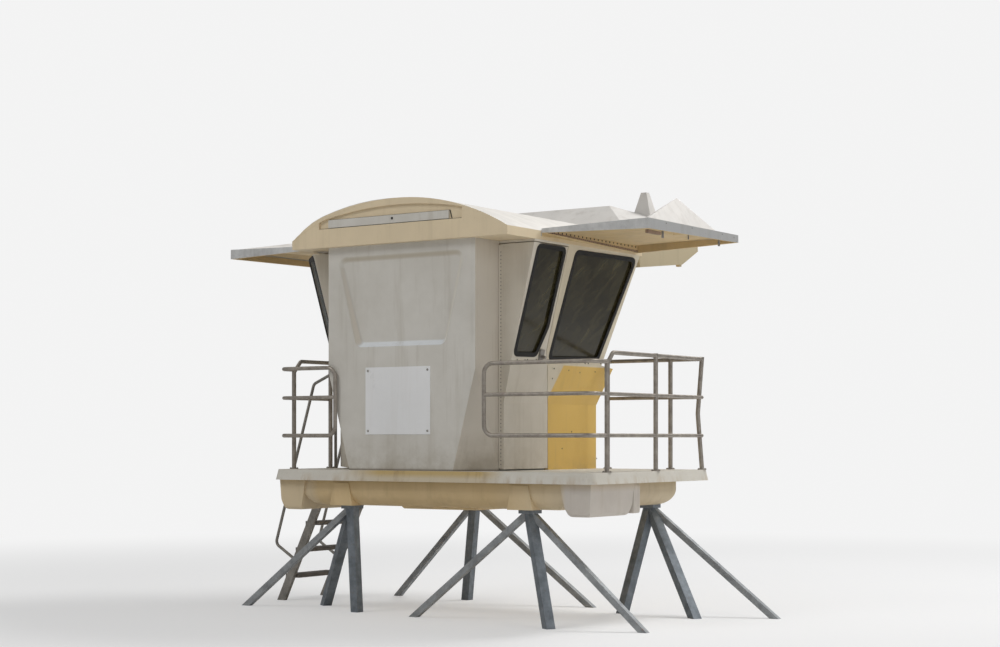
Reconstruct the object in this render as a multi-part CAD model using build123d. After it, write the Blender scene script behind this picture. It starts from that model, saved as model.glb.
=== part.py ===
from build123d import *
import math
import os

# Lifeguard tower: a moulded fibreglass cabin on a railed deck, carried by
# splayed steel legs. X runs along the landward side, Y from land to sea,
# Z up from the ground. Sizes are in millimetres.

# Deck and hull
deck_top = 1360
deck_width = 3565
deck_depth = 2120
rim_height = 100
rim_flare = 25
rim_wall = 45
deck_skin = 30
deck_corner = 60
hull_setback = 307
hull_back = 35
hull_front = 2050
hull_bottom = 335
hull_round = 150
hull_wall = 25
corner_box_setback = 25
corner_box_width = 257
corner_box_length = 770
corner_box_bottom = 385
keel_half = 420
keel_drop = 22
boss_top = 180
boss_bottom = 270

# Cabin plan and heights, measured from its own centre line and the deck
cabin_shift = -325
wall = 45
block_back = 60
block_half = 850
block_foot_half = 600
block_kink = 930
hinge_line = 440
lower_half = 900
lower_front = 2060
flare_start = 620
ledge_half = 980
ledge_front = 2250
ledge_height = 985
sill_half = 985
sill_front = 2020
sill_height = 1010
head_half = 1240
head_front = 2335
wall_top = 2100
floor_thickness = 20

# Doors; the free edge is given as (distance from the back, height)
door_edge = [(1186, 0), (1186, 620), (1048, 1000), (995, 1124), (1022, 2110)]
door_gap = 8
door_bottom = 14
door_top = 2072
door_clearance = 30
pin_radius = 7
pin_x = 857.3
pin_y = 432
hinge_leaf = 28
lock_height = 1072
lock_y = 905

# Windows, given on the leaning walls as (distance from the back, height)
side_window = [(1056, 1038), (1925, 1064), (2264, 2054), (1173, 2043)]
door_window = [(465, 1060), (822, 1068), (933, 1334), (975, 2050), (521, 2049)]
window_round = 58
front_round = 60
front_window_low = 1060
front_window_high = 2040
front_window_bottom_half = 860
front_window_top_half = 1080
front_mullion = 80
glass_thickness = 8

# Rear panel recess and sign
recess_top_half = 740
recess_bottom_half = 515
recess_low = 1150
recess_high = 2003
recess_corner = 75
recess_depth_low = 52
recess_depth_high = 12
recess_draft = 18
rear_skin = 82
sign_width = 750
sign_height = 625
sign_centre = 646
sign_shift = -26
sign_thickness = 4

# Roof
roof_back = -10
roof_front = 2370
roof_half = 1243
eave_top = 2180
crown = 2510
roof_wall = 40
gable_wall = 115
gable_recess = 24
field_left = -914
field_right = 752
flap_left = -800
flap_right = 600
flap_thickness = 19

# Raised shutters
shutter_back = 540
shutter_front = 2260
shutter_reach = 1110
shutter_rise = 1.3
shutter_depths = (40, 112, 75, 130)
left_shutter_depths = (35, 95, 75, 110)
hinge_strip = 60
shutter_skin = 14
shutter_gap = 4
shutter_level = 2200
right_peak = (925, 1400, 280)
right_peak_base = (680, 985, 1750, 1870)
left_shutter_back = 340
left_shutter_level = 2172
left_peak = (880, 1480, 190)
left_peak_base = (680, 785, 1850, 2100)
shutter_margin = 25
front_shutter_half = 1190
front_shutter_reach = 1260
front_shutter_foot = 873
front_shutter_lip = 1239
front_shutter_tilt = 12
front_hinge_depth = 240
front_rim_depth = 240
front_foot_depth = 329
ridge_start = -800
ridge_end = 360
ridge_reach = 941
ridge_height = 330
horn_offset = 660
horn_distance = 3450
horn_low_half = 160
horn_low_depth = 110
horn_top_half = 32
horn_base = 2440
horn_top = 2887

# Rails
tube = 38
post_tube = 42
infill_tube = 34
flange = 84
flange_thickness = 10
rail_inset = 27
front_inset = 70
rail_low = 323
rail_mid = 686
rail_top = 965
rail_raised = 1048
rail_bend = 95
near_post = 300
left_near_post = 235
left_last_post = 790
kink_height = 530
kink_depth = 45
middle_post = 1160
front_rail_post = 1415
front_rail_gap = 60
right_loop_end = 642
left_loop_end = -1068
ladder_back = 850
ladder_front = 1570

# Legs
leg_head = 150
leg_head_top = 80
leg_head_depth = 35
leg_x = 1012
main_tube = 85
brace_tube = 56
leg_height = deck_top - hull_bottom

# Ladder
ladder_run = 660
stringer_depth = 90
stringer_width = 40
tread_count = 4
tread_depth = 180
tread_thickness = 38
handrail_tube = 30
handrail_offset = 260
handrail_start = 420

centre_x = cabin_shift
beyond = 2 * deck_width
hull_half = deck_width / 2 - hull_setback
corner_box_half = deck_width / 2 - corner_box_setback
roof_rise = crown - eave_top
gable_margin = 0.188 * roof_rise
slot_level = eave_top + 0.288 * roof_rise
flap_level = slot_level + 0.021 * roof_rise
flap_height = 0.225 * roof_rise
lean = (head_half - sill_half) / (wall_top - sill_height)


def face_at(x0, x1, y0, y1, z):
    """A level rectangle between two corners."""
    return Pos((x0 + x1) / 2, (y0 + y1) / 2, z) * Rectangle(x1 - x0, y1 - y0)


def block(x0, x1, y0, y1, z0, z1):
    """A box between two corners."""
    size = Box(x1 - x0, y1 - y0, z1 - z0)
    return Pos((x0 + x1) / 2, (y0 + y1) / 2, (z0 + z1) / 2) * size


def corners(x0, x1, y0, y1, z):
    return [(x0, y0, z), (x1, y0, z), (x1, y1, z), (x0, y1, z)]


def solid_of(rings):
    """A solid with flat faces from outlines that all turn outwards."""
    faces = []
    for ring in rings:
        wire = Wire.make_polygon([Vector(*point) for point in ring], close=True)
        faces.append(Face(wire))
    return Solid(Shell(faces))


def frustum(low, high):
    """A solid with flat faces between two rings of four corners."""
    rings = [[low[0], low[2], low[1]], [low[0], low[3], low[2]], high]
    for i in range(4):
        j = (i + 1) % 4
        rings.append([low[i], low[j], high[j], high[i]])
    return solid_of(rings)


def pyramid(base, apex):
    rings = [list(reversed(base))]
    for i in range(4):
        rings.append([base[i], base[(i + 1) % 4], apex])
    return solid_of(rings)


def stack(levels):
    """A solid with flat sides through rectangles at several heights."""
    result = None
    for lower, upper in zip(levels, levels[1:]):
        layer = frustum(
            corners(*lower[1:], lower[0]), corners(*upper[1:], upper[0])
        )
        result = layer if result is None else result + layer
    return result


def side_prism(points, x0, x1, radius=0):
    """A (y, z) outline carried from x0 to x1, with rounded corners."""
    outline = [(y, z) for y, z in points]
    sketch = Plane.YZ * make_face(Polyline(*outline, close=True))
    if radius:
        sketch = fillet(sketch.vertices(), radius)
    return Pos(x0, 0, 0) * extrude(sketch, amount=x1 - x0, dir=(1, 0, 0))


def back_prism(points, y0, y1, radius=0):
    """An (x, z) outline carried from y0 to y1, with rounded corners."""
    sketch = Plane.XZ * make_face(Polyline(*points, close=True))
    if radius:
        sketch = fillet(sketch.vertices(), radius)
    return Pos(0, y0, 0) * extrude(sketch, amount=y1 - y0, dir=(0, 1, 0))


def tube_along(points, bend, diameter=tube):
    """A round tube along straight runs with equal bends."""
    if len(points) == 2:
        path = Line(*points)
    else:
        path = FilletPolyline(*points, radius=bend)
    start = Plane(origin=path @ 0, z_dir=path % 0)
    return sweep(start * Circle(diameter / 2), path=path)


def strut(start, end, size):
    """A square tube between two points, cut level at the ground."""
    vector = Vector(*end) - Vector(*start)
    direction = vector.normalized()
    plane = Plane(origin=start, x_dir=(0, 0, 1), z_dir=direction)
    bar = extrude(plane * Rectangle(size, size), amount=vector.length + 2 * size)
    reach = 3 * leg_height
    above = Pos(0, 0, reach / 2) * Box(4 * reach, 4 * reach, reach)
    return bar & above


def only(shape):
    """The largest solid of a result."""
    return max(shape.solids(), key=lambda solid: solid.volume)


def in_cabin(shape):
    """From the cabin's centre line and deck height to the tower's frame."""
    return Pos(centre_x, 0, deck_top) * shape


def mirrored(shape):
    return mirror(shape, about=Plane.YZ)


# Deck: a drafted tray with its open side down
def make_deck():
    half = deck_width / 2
    bottom = deck_top - rim_height
    top_face = Pos(0, deck_depth / 2, deck_top) * RectangleRounded(
        deck_width, deck_depth, deck_corner
    )
    low_face = Pos(0, deck_depth / 2, bottom) * RectangleRounded(
        deck_width + 2 * rim_flare, deck_depth + 2 * rim_flare, deck_corner + rim_flare
    )
    outer = loft([low_face, top_face], ruled=True)
    pocket = block(
        -half + rim_wall, half - rim_wall, rim_wall, deck_depth - rim_wall,
        bottom - 1, deck_top - deck_skin,
    )
    return only(outer - pocket)


# Hull: a rounded pan under the deck, with a box at each back corner
def hull_body():
    """The hull's outside, filled."""
    top = deck_top - deck_skin
    bottom = deck_top - hull_bottom
    height = top - bottom
    middle = Pos(0, (hull_back + hull_front) / 2 + 10, (top + bottom) / 2)
    pan = Box(2 * hull_half, hull_front - hull_back - 20, height)
    low_edges = pan.edges().group_by(Axis.Z)[0]
    pan = fillet(low_edges, hull_round)
    outer = middle * pan
    box_low = deck_top - corner_box_bottom
    rim_low = deck_top - rim_height
    inner = corner_box_half - corner_box_width
    for side in (-1, 1):
        xs = sorted((side * (inner - 60), side * corner_box_half))
        lows = sorted((side * inner, side * (corner_box_half - 18)))
        high = corners(*xs, hull_back - 5, corner_box_length, rim_low)
        low = corners(*lows, hull_back + 5, corner_box_length - 25, box_low)
        corner = frustum(low, high)
        lowest = corner.edges().group_by(Axis.Z)[0]
        outer = outer + fillet(lowest, 38)
        necks = sorted((side * (inner - 60), side * (deck_width / 2 - rim_wall - 3)))
        outer = outer + block(*necks, rim_wall + 3, corner_box_length, rim_low - 5, top)
    keel = block(
        -keel_half, keel_half, 220, hull_front - 220, bottom - keel_drop, bottom + 60
    )
    keel = chamfer(keel.edges().group_by(Axis.Z)[0], 15)
    outer = outer + keel
    for x in (-leg_x, leg_x):
        slope = [
            (x - boss_top / 2, deck_top - rim_height - 20),
            (x + boss_top / 2, deck_top - rim_height - 20),
            (x + boss_bottom / 2, bottom),
            (x - boss_bottom / 2, bottom),
        ]
        outer = outer + back_prism(slope, hull_back + 10, hull_back + 200)
    return outer


def make_hull():
    top = deck_top - deck_skin
    bottom = deck_top - hull_bottom
    height = top - bottom
    inner_z = (bottom + hull_wall + top + 10) / 2
    hollow = Box(
        2 * (hull_half - hull_wall),
        hull_front - hull_back - 20 - 2 * hull_wall,
        height - hull_wall + 10,
    )
    hollow = fillet(hollow.edges().group_by(Axis.Z)[0], hull_round - hull_wall)
    return only(hull_body() - Pos(0, (hull_back + hull_front) / 2 + 10, inner_z) * hollow)


# Cabin shell, from which the walls, doors and sills are cut
def cabin_levels(inset):
    """Outline of the cabin at each height, moved inwards by a wall."""
    return [
        (0, lower_half, lower_front),
        (flare_start, lower_half, lower_front),
        (ledge_height - inset, ledge_half, ledge_front),
        (sill_height - inset, sill_half, sill_front),
        (wall_top, head_half, head_front),
    ]


def cabin_solid(inset, wide=0, deep=0):
    levels = []
    for z, half, front in cabin_levels(inset):
        x = half - inset + wide
        levels.append((z, -x, x, hinge_line + inset - deep, front - inset + deep))
    return stack(levels)


def block_solid(inset):
    """The rear bay, with its lower corners cut off slantwise."""
    half = block_half - inset
    bay = block(-half, half, block_back + inset, hinge_line + inset, 0, wall_top)
    for side in (-1, 1):
        kink = (side * block_half, block_back, block_kink)
        foot = (side * block_foot_half, block_back, 0)
        heel = (side * block_half, hinge_line, 0)
        cut = Plane(origin=kink, x_dir=Vector(*foot) - Vector(*kink),
                    z_dir=(Vector(*foot) - Vector(*kink)).cross(Vector(*heel) - Vector(*kink)))
        if cut.z_dir.X * side < 0:
            cut = Plane(origin=kink, x_dir=cut.x_dir, z_dir=-cut.z_dir)
        away = cut.offset(-inset)
        wedge = extrude(away * Rectangle(beyond, beyond), amount=beyond)
        bay = bay - wedge
    return only(bay)


def shell_solid():
    outer = cabin_solid(0)
    inner = cabin_solid(wall)
    return outer - inner


def side_zone():
    """Everything between the inner faces of the side walls."""
    return cabin_solid(wall, 0, 400)


def door_outline(shift):
    """The door's free edge as an outline over everything behind it."""
    edge = [(y + shift, z) for y, z in door_edge]
    return [(-100, 0)] + edge + [(-100, edge[-1][1])]


def door_side(shift, low, high):
    """What lies behind the free edge, between two heights, right of the bay."""
    zone = side_prism(door_outline(shift), pin_x + 1, beyond)
    return zone & block(0, beyond, -beyond, beyond, low, high)


def make_side_wall():
    """Right wall with its window opening, ahead of the door."""
    half = shell_solid() - side_zone()
    right = half & block(0, beyond, hinge_line + wall, beyond, -wall, wall_top + wall)
    right = right - side_prism(door_outline(0), 0, beyond)
    opening = side_prism(side_window, block_foot_half, beyond, window_round)
    return only(right - opening)


def door_leaf():
    leaf = shell_solid() & door_side(-door_gap, door_bottom, door_top)
    opening = side_prism(door_window, block_foot_half, beyond, window_round)
    middle = (door_bottom + door_top) / 2
    length = door_top - door_bottom - 20
    barrel = Pos(pin_x, pin_y, middle) * Cylinder(pin_radius, length)
    strip = block(
        pin_x, pin_x + hinge_leaf, pin_y + 2, hinge_line, middle - length / 2,
        middle + length / 2,
    )
    return only(leaf - opening + barrel + strip)


def make_door_header():
    """Strip of the shell over the right door."""
    over = side_prism(door_outline(0), block_half, beyond)
    over = over & block(0, beyond, -beyond, beyond, door_top + door_gap, wall_top + wall)
    return only(shell_solid() & over)


def front_window(side):
    """Outline of the window on one side of the front mullion."""
    middle = front_mullion / 2
    return [
        (side * middle, front_window_low),
        (side * front_window_bottom_half, front_window_low),
        (side * front_window_top_half, front_window_high),
        (side * middle, front_window_high),
    ]


def open_angle():
    """How far the left door opens before it nears the ladder's handrail."""
    across = deck_width / 2 - rail_inset + centre_x - pin_x
    along = ladder_back + stringer_width / 2 - pin_y
    distance = math.hypot(across, along)
    clear = lower_half - pin_x + handrail_tube / 2 + door_clearance
    return math.floor(math.degrees(math.atan2(across, along) - math.asin(clear / distance)))


def make_front_wall():
    front = shell_solid() & side_zone()
    front = front & block(-beyond, beyond, lower_front / 2, beyond, -wall, wall_top + wall)
    for side in (-1, 1):
        front = front - back_prism(
            front_window(side), lower_front / 2, beyond, front_round
        )
    return only(front)


def make_rear_bay():
    """Rear bay with a panel pressed in deeper at its foot than at its head."""
    bay = block_solid(0) - block_inner()
    outline = [
        (-recess_bottom_half, recess_low),
        (recess_bottom_half, recess_low),
        (recess_top_half, recess_high),
        (-recess_top_half, recess_high),
    ]
    sketch = Plane.XZ * make_face(Polyline(*outline, close=True))
    sketch = fillet(sketch.vertices(), recess_corner)
    press = extrude(sketch, amount=-recess_depth_low, taper=recess_draft)
    press = Pos(0, block_back, 0) * press
    floor_line = [
        (block_back - 1, recess_low - 50),
        (block_back + recess_depth_low, recess_low - 50),
        (block_back + recess_depth_low, recess_low),
        (block_back + recess_depth_high, recess_high),
        (block_back - 1, recess_high),
    ]
    return only(bay - (press & side_prism(floor_line, -block_half, block_half)))


def block_inner():
    """The bay's inside, whose back stays thick enough for the panel."""
    inner = block_solid(wall)
    mouth_half = block_half - wall
    mouth = block(
        -mouth_half, mouth_half, hinge_line - 5, hinge_line + 2 * wall, 0, wall_top
    )
    ahead = block(-beyond, beyond, block_back + rear_skin, beyond, -wall, wall_top + wall)
    return (inner + mouth) & ahead


def pane(outline_prism, slab):
    """Glass that fills an opening between two planes along the wall."""
    return only(outline_prism & slab)


def side_slab():
    """The middle of the leaning side wall, as thick as the glass."""
    offset = (wall - glass_thickness) / 2
    outer = cabin_solid(offset)
    inner = cabin_solid(offset + glass_thickness)
    return outer - inner


def make_side_glass():
    opening = side_prism(side_window, ledge_half - wall, beyond, window_round)
    return pane(opening, side_slab())


def make_door_glass():
    opening = side_prism(door_window, ledge_half - wall, beyond, window_round)
    ahead = block(block_half, beyond, hinge_line + wall / 2 + 4, beyond, 0, wall_top)
    return pane(opening, side_slab() & ahead)


def make_front_glass(side):
    opening = back_prism(front_window(side), lower_front / 2, beyond, front_round)
    half = head_half - wall - 5
    return pane(opening, side_slab() & block(-half, half, lower_front / 2, beyond, 0, wall_top))


def make_lock():
    """Lock case on the leaning face near the free edge of the door."""
    level = lock_height
    x = sill_half + (level - sill_height) * lean
    face = Plane(origin=(x, lock_y, level), x_dir=(0, 1, 0), z_dir=(1, 0, -lean))
    case = extrude(face * RectangleRounded(70, 110, 12), amount=16)
    grip = extrude(face * (Pos(0, -14, 0) * Circle(15)), amount=58)
    return case + grip


def make_floor():
    floor = block(
        -lower_half + wall + 12, lower_half - wall - 12, hinge_line + wall,
        lower_front - wall, 0, floor_thickness,
    )
    return floor


def make_sign():
    return block(
        sign_shift - sign_width / 2, sign_shift + sign_width / 2,
        block_back - sign_thickness, block_back,
        sign_centre - sign_height / 2, sign_centre + sign_height / 2,
    )


# Roof: a shallow arch with a thick gable at the back
def arch_face(half, low, side_top, top):
    """Arched outline in the XZ plane."""
    left = (-half, low)
    right = (half, low)
    base = Polyline((-half, side_top), left, right, (half, side_top))
    curve = ThreePointArc((half, side_top), (0, top), (-half, side_top))
    return Plane.XZ * make_face([base, curve])


def arch_solid(half, low, side_top, top, y0, y1):
    face = arch_face(half, low, side_top, top)
    return Pos(0, y0, 0) * extrude(face, amount=y1 - y0, dir=(0, 1, 0))


def make_roof():
    roof = arch_solid(roof_half, wall_top, eave_top, crown, roof_back, roof_front)
    cavity = arch_solid(
        head_half - wall, wall_top - 5, eave_top - 20, crown - roof_wall,
        block_back + wall, head_front - wall,
    )
    room = block(
        -head_half + wall, head_half - wall, hinge_line + wall, head_front - wall,
        wall_top - 5, crown,
    )
    bay_half = block_half - wall
    room = room + block(
        -bay_half, bay_half, block_back + wall, hinge_line + wall, wall_top - 5, crown
    )
    roof = roof - (cavity & room)
    field = arch_solid(
        roof_half - gable_margin, slot_level, slot_level + 1,
        crown - gable_margin, roof_back - 5, roof_back + gable_recess,
    )
    field = field & block(
        field_left, field_right, roof_back - 10, roof_back + gable_recess, slot_level, crown
    )
    return only(roof - field)


def make_flap():
    back = roof_back + gable_recess
    return block(
        flap_left, flap_right, back - flap_thickness, back, flap_level,
        flap_level + flap_height,
    )


# Shutters: tapered panels, hollow below, with a raised top
def shutter_inner(reach, y0, y1, deep):
    """The space below a panel, within its rims."""
    side = 2 * shutter_skin
    return block(side, reach - side, y0 + side, y1 - side, -deep, -shutter_skin)


def side_shutter(level, back, depths, peak, base):
    """A shutter over a side window with its hinge strip on the eave."""
    inner_x, near_y, far_y, end_y = base
    edge = shutter_reach - shutter_margin
    ring = [
        (inner_x, near_y, -1), (edge, back + shutter_margin, -1), (edge, end_y, -1),
        (inner_x, far_y, -1),
    ]
    hinge_near, rim_near, rim_far, hinge_far = depths
    low = [
        (0, back, -hinge_near), (shutter_reach, back, -rim_near),
        (shutter_reach, shutter_front, -rim_far), (0, shutter_front, -hinge_far),
    ]
    panel = frustum(low, corners(0, shutter_reach, back, shutter_front, 0))
    panel = panel + pyramid(ring, peak)
    x, y, height = peak
    inside = []
    for point in ring:
        inside.append((
            x + 0.88 * (point[0] - x), y + 0.88 * (point[1] - y), -shutter_skin - 1
        ))
    panel = panel - pyramid(inside, (x, y, height - 2.5 * shutter_skin))
    panel = panel - shutter_inner(shutter_reach, back, shutter_front, 3 * max(depths))
    place = Pos(roof_half + shutter_gap, 0, level) * Rot(0, -shutter_rise, 0)
    low = min(level - depths[0], eave_top) - hinge_strip / 2
    strip = block(
        roof_half, roof_half + shutter_gap + 4, back, shutter_front, low, low + hinge_strip
    )
    return only(only(place * panel) + strip)


def make_front_shutter():
    """The seaward shutter, tilted up about the front eave."""
    half = front_shutter_half
    reach = front_shutter_reach
    profile = [
        (0, 0), (0, -front_hinge_depth), (front_shutter_foot, -front_foot_depth),
        (front_shutter_lip, -front_rim_depth), (reach, 0),
    ]
    sketch = Plane.XZ * make_face(Polyline(*profile, close=True))
    panel = Pos(0, -half, 0) * extrude(sketch, amount=2 * half, dir=(0, 1, 0))
    edge = shutter_margin
    ridge = corners(ridge_reach - 12, ridge_reach + 12, -ridge_end, -ridge_start, ridge_height)
    panel = panel + frustum(corners(edge, reach - edge, edge - half, half - edge, -1), ridge)
    deep = edge + 2 * shutter_skin
    tip = corners(
        ridge_reach - 7, ridge_reach + 7, -ridge_end, -ridge_start,
        ridge_height - 2.2 * shutter_skin,
    )
    inside = frustum(
        corners(deep, reach - deep, deep - half, half - deep, -shutter_skin - 1), tip
    )
    inside = inside + shutter_inner(front_shutter_lip, -half, half, 2 * front_foot_depth)
    place = Pos(0, roof_front + shutter_gap, shutter_level + 30)
    place = place * Rot(front_shutter_tilt, 0, 0) * Rot(0, 0, 90)
    outer = place * panel
    base = corners(
        horn_offset - horn_low_half, horn_offset + horn_low_half,
        horn_distance - horn_low_depth, horn_distance + horn_low_depth, horn_base,
    )
    tip = corners(
        horn_offset - horn_top_half, horn_offset + horn_top_half,
        horn_distance - horn_top_half, horn_distance + horn_top_half, horn_top,
    )
    outer = outer + frustum(base, tip)
    panel = outer - place * inside
    panel = panel - block(-beyond, beyond, 0, roof_front + 1, 0, beyond)
    strip = block(
        -half, half, roof_front, roof_front + shutter_gap + 12,
        shutter_level - hinge_strip, shutter_level + hinge_strip / 3,
    )
    return only(only(panel) + strip)


# Rails
def post(x, y, height):
    z = deck_top + height / 2
    foot = Pos(x, y, deck_top + flange_thickness / 2) * Cylinder(flange / 2, flange_thickness)
    return Pos(x, y, z) * Cylinder(post_tube / 2, height) + foot


def rod(start, end, diameter=infill_tube):
    return tube_along([start, end], 0, diameter)


def loop_panel(bar_x, side, near):
    """A bent tube along the back that turns forward at a deck corner."""
    x_side = side * (deck_width / 2 - rail_inset)
    y_back = rail_inset
    low = deck_top + rail_low
    mid = deck_top + rail_mid
    top = deck_top + rail_top
    route = [
        (x_side, near, top), (x_side, y_back, top), (bar_x, y_back, top),
        (bar_x, y_back, low), (x_side, y_back, low), (x_side, near, low),
    ]
    middle = [(bar_x, y_back, mid), (x_side, y_back, mid), (x_side, near, mid)]
    loop = tube_along(route, rail_bend) + tube_along(middle, rail_bend, infill_tube)
    return loop + post(x_side, near, rail_top + tube / 2 + 2)


def bent_post(x, y, height, toward):
    """A corner post knocked inwards part of the way up."""
    points = [
        (x - toward * kink_depth * 0.1, y, deck_top - kink_height * 0.1),
        (x + toward * kink_depth, y, deck_top + kink_height),
        (x, y, deck_top + height),
    ]
    foot = Pos(x, y, deck_top + flange_thickness / 2) * Cylinder(flange / 2, flange_thickness)
    below = block(x - flange, x + flange, y - flange, y + flange, 0, deck_top)
    return tube_along(points, 200, post_tube) - below + foot


def side_panel(side, near, y1, posts):
    """Three tubes along a side, the top one raised, with their posts."""
    x = side * (deck_width / 2 - rail_inset)
    panel = rod((x, near, deck_top + rail_low), (x, y1, deck_top + rail_low))
    panel = panel + rod((x, near, deck_top + rail_mid), (x, y1, deck_top + rail_mid))
    rise = [
        (x, near, deck_top + rail_top - 25),
        (x, near + 100, deck_top + rail_raised),
        (x, y1, deck_top + rail_raised),
    ]
    panel = panel + tube_along(rise, 45)
    for y in posts:
        panel = panel + post(x, y, rail_raised + tube / 2 + 2)
    return panel


def front_panel(x0, x1, posts):
    y = deck_depth - front_inset
    panel = rod((x0, y, deck_top + rail_low), (x1, y, deck_top + rail_low))
    panel = panel + rod((x0, y, deck_top + rail_mid), (x1, y, deck_top + rail_mid))
    panel = panel + rod((x0, y, deck_top + rail_raised), (x1, y, deck_top + rail_raised), tube)
    for x in posts:
        panel = panel + post(x, y, rail_raised + tube / 2 + 2)
    return panel


# Legs: four clusters, each with a head under the hull and three struts
leg_plan = {
    "back_right": (leg_x, 215, [
        ("leg", 320, -190, main_tube), ("brace_out", 1160, 0, brace_tube),
        ("brace_in", -1290, 0, brace_tube)]),
    "back_left": (-leg_x, 215, [
        ("leg", 0, 70, main_tube), ("leg_near", -700, 450, main_tube),
        ("brace_out", -1340, 0, brace_tube)]),
    "front_left": (-805, 1950, [
        ("leg", -100, 0, main_tube), ("brace_out", -990, 0, brace_tube),
        ("brace_in", 1390, 0, brace_tube)]),
    "front_right": (1247, 1950, [
        ("leg", -100, -350, main_tube), ("leg_far", 700, -400, main_tube),
        ("brace_out", 1320, 0, brace_tube)]),
}


def leg_head_solid(x, y):
    top = deck_top - hull_bottom
    half = leg_head / 2
    return block(x - half, x + half, y - half, y + half, top - leg_head_depth, top + leg_head_top)


def make_cluster(name, body):
    """Three struts from one head, cut to meet the underside of the hull."""
    x, y, struts = leg_plan[name]
    top = deck_top - hull_bottom - leg_head_depth / 2
    used = only(leg_head_solid(x, y) - body)
    made = {}
    for index, (label, dx, dy, size) in enumerate(struts):
        bar = strut((x, y, top), (x + dx, y + dy, 0), size) - body
        if index == 0:
            bar = only(used + only(bar))
            used = bar
        else:
            bar = only(bar - used)
            used = used + bar
        made[label + "_" + name] = bar
    return made


# Ladder on the left side
def stringer(y):
    x_top = -deck_width / 2 - rim_flare
    x_foot = x_top - ladder_run
    points = [
        (x_top, deck_top - 12), (x_top, deck_top - 12 - stringer_depth),
        (x_foot + stringer_depth * 0.6, 0), (x_foot - stringer_depth * 0.5, 0),
        (x_top - stringer_depth * 0.5, deck_top - 12),
    ]
    return back_prism(points, y, y + stringer_width)


def tread(index):
    x_top = -deck_width / 2 - rim_flare
    z = deck_top * (index + 1) / (tread_count + 1)
    x = x_top - ladder_run * (1 - z / deck_top) - 5
    y0 = ladder_back + stringer_width
    y1 = ladder_front - stringer_width
    return block(
        x - tread_depth / 2, x + tread_depth / 2, y0, y1, z - tread_thickness, z
    )


def handrail(y):
    """A thin tube beside the ladder that rises over the deck edge."""
    x_top = -deck_width / 2 - rim_flare - stringer_depth * 0.25
    slope = ladder_run / deck_top
    out = handrail_offset
    x_rail = -deck_width / 2 + rail_inset
    z_low = handrail_start
    foot = (x_top - slope * (deck_top - z_low), y, z_low)
    low = (x_top - slope * (deck_top - z_low) - out, y, z_low + out * 0.6)
    high = (x_top - out * 0.8, y, deck_top + rail_top - 120)
    end = (x_rail, y, deck_top + rail_top)
    down = (x_rail, y, deck_top)
    return tube_along([foot, low, high, end, down], 60, handrail_tube)


def build_nodes():
    nodes = {"deck": make_deck(), "hull": make_hull()}
    right_wall = make_side_wall()
    header = make_door_header()
    leaf = door_leaf()
    side_glass = make_side_glass()
    door_glass = make_door_glass()
    hinge_axis = Axis((-pin_x, pin_y, 0), (0, 0, 1))
    left_door_open = open_angle()
    nodes["floor"] = in_cabin(make_floor())
    nodes["rear_bay"] = in_cabin(make_rear_bay())
    nodes["sign_plate"] = in_cabin(make_sign())
    nodes["right_wall"] = in_cabin(right_wall)
    nodes["left_wall"] = in_cabin(mirrored(right_wall))
    nodes["right_door_header"] = in_cabin(header)
    nodes["left_door_header"] = in_cabin(mirrored(header))
    nodes["front_wall"] = in_cabin(make_front_wall())
    nodes["right_window_glass"] = in_cabin(side_glass)
    nodes["left_window_glass"] = in_cabin(mirrored(side_glass))
    nodes["front_right_glass"] = in_cabin(make_front_glass(1))
    nodes["front_left_glass"] = in_cabin(make_front_glass(-1))
    nodes["right_door"] = in_cabin(leaf)
    nodes["right_door_glass"] = in_cabin(door_glass)
    open_leaf = mirrored(leaf).rotate(hinge_axis, left_door_open)
    open_glass = mirrored(door_glass).rotate(hinge_axis, left_door_open)
    nodes["left_door"] = in_cabin(open_leaf)
    nodes["left_door_glass"] = in_cabin(open_glass)
    nodes["roof"] = in_cabin(make_roof())
    nodes["vent_flap"] = in_cabin(make_flap())
    right_shutter = side_shutter(
        shutter_level, shutter_back, shutter_depths, right_peak, right_peak_base
    )
    left_shutter = side_shutter(
        left_shutter_level, left_shutter_back, left_shutter_depths, left_peak, left_peak_base
    )
    nodes["right_shutter"] = in_cabin(right_shutter)
    nodes["left_shutter"] = in_cabin(mirrored(left_shutter))
    nodes["front_shutter"] = in_cabin(make_front_shutter())
    x_rail = deck_width / 2 - rail_inset
    y_front = deck_depth - front_inset
    nodes["back_rail_right"] = loop_panel(right_loop_end, 1, near_post)
    nodes["back_rail_left"] = loop_panel(left_loop_end, -1, left_near_post)
    right_side = side_panel(1, near_post, y_front, [middle_post])
    right_side = right_side + bent_post(x_rail, y_front, rail_raised + tube / 2 + 2, -1)
    left_side = side_panel(-1, left_near_post, left_last_post, [left_last_post])
    nodes["side_rail_right"] = only(right_side - nodes["back_rail_right"])
    nodes["side_rail_left"] = only(left_side - nodes["back_rail_left"])
    cabin_right = centre_x + ledge_half + front_rail_gap
    cabin_left = centre_x - ledge_half - front_rail_gap
    front_right = front_panel(cabin_right, x_rail, [cabin_right, front_rail_post])
    nodes["front_rail_right"] = only(front_right - nodes["side_rail_right"])
    nodes["front_rail_left"] = front_panel(-x_rail, cabin_left, [-x_rail, cabin_left])
    body = hull_body()
    for name in leg_plan:
        nodes.update(make_cluster(name, body))
    back = stringer(ladder_back)
    front = stringer(ladder_front - stringer_width)
    nodes["ladder_stringer_back"] = back
    nodes["ladder_stringer_front"] = front
    treads = [tread(index) for index in range(tread_count)]
    nodes["ladder_treads"] = Compound(children=treads)
    back_hand = handrail(ladder_back + stringer_width / 2)
    front_hand = handrail(ladder_front - stringer_width / 2)
    nodes["ladder_handrail_back"] = only(back_hand - back)
    nodes["ladder_handrail_front"] = only(front_hand - front)
    nodes["right_door_lock"] = in_cabin(make_lock())
    return nodes


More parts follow.
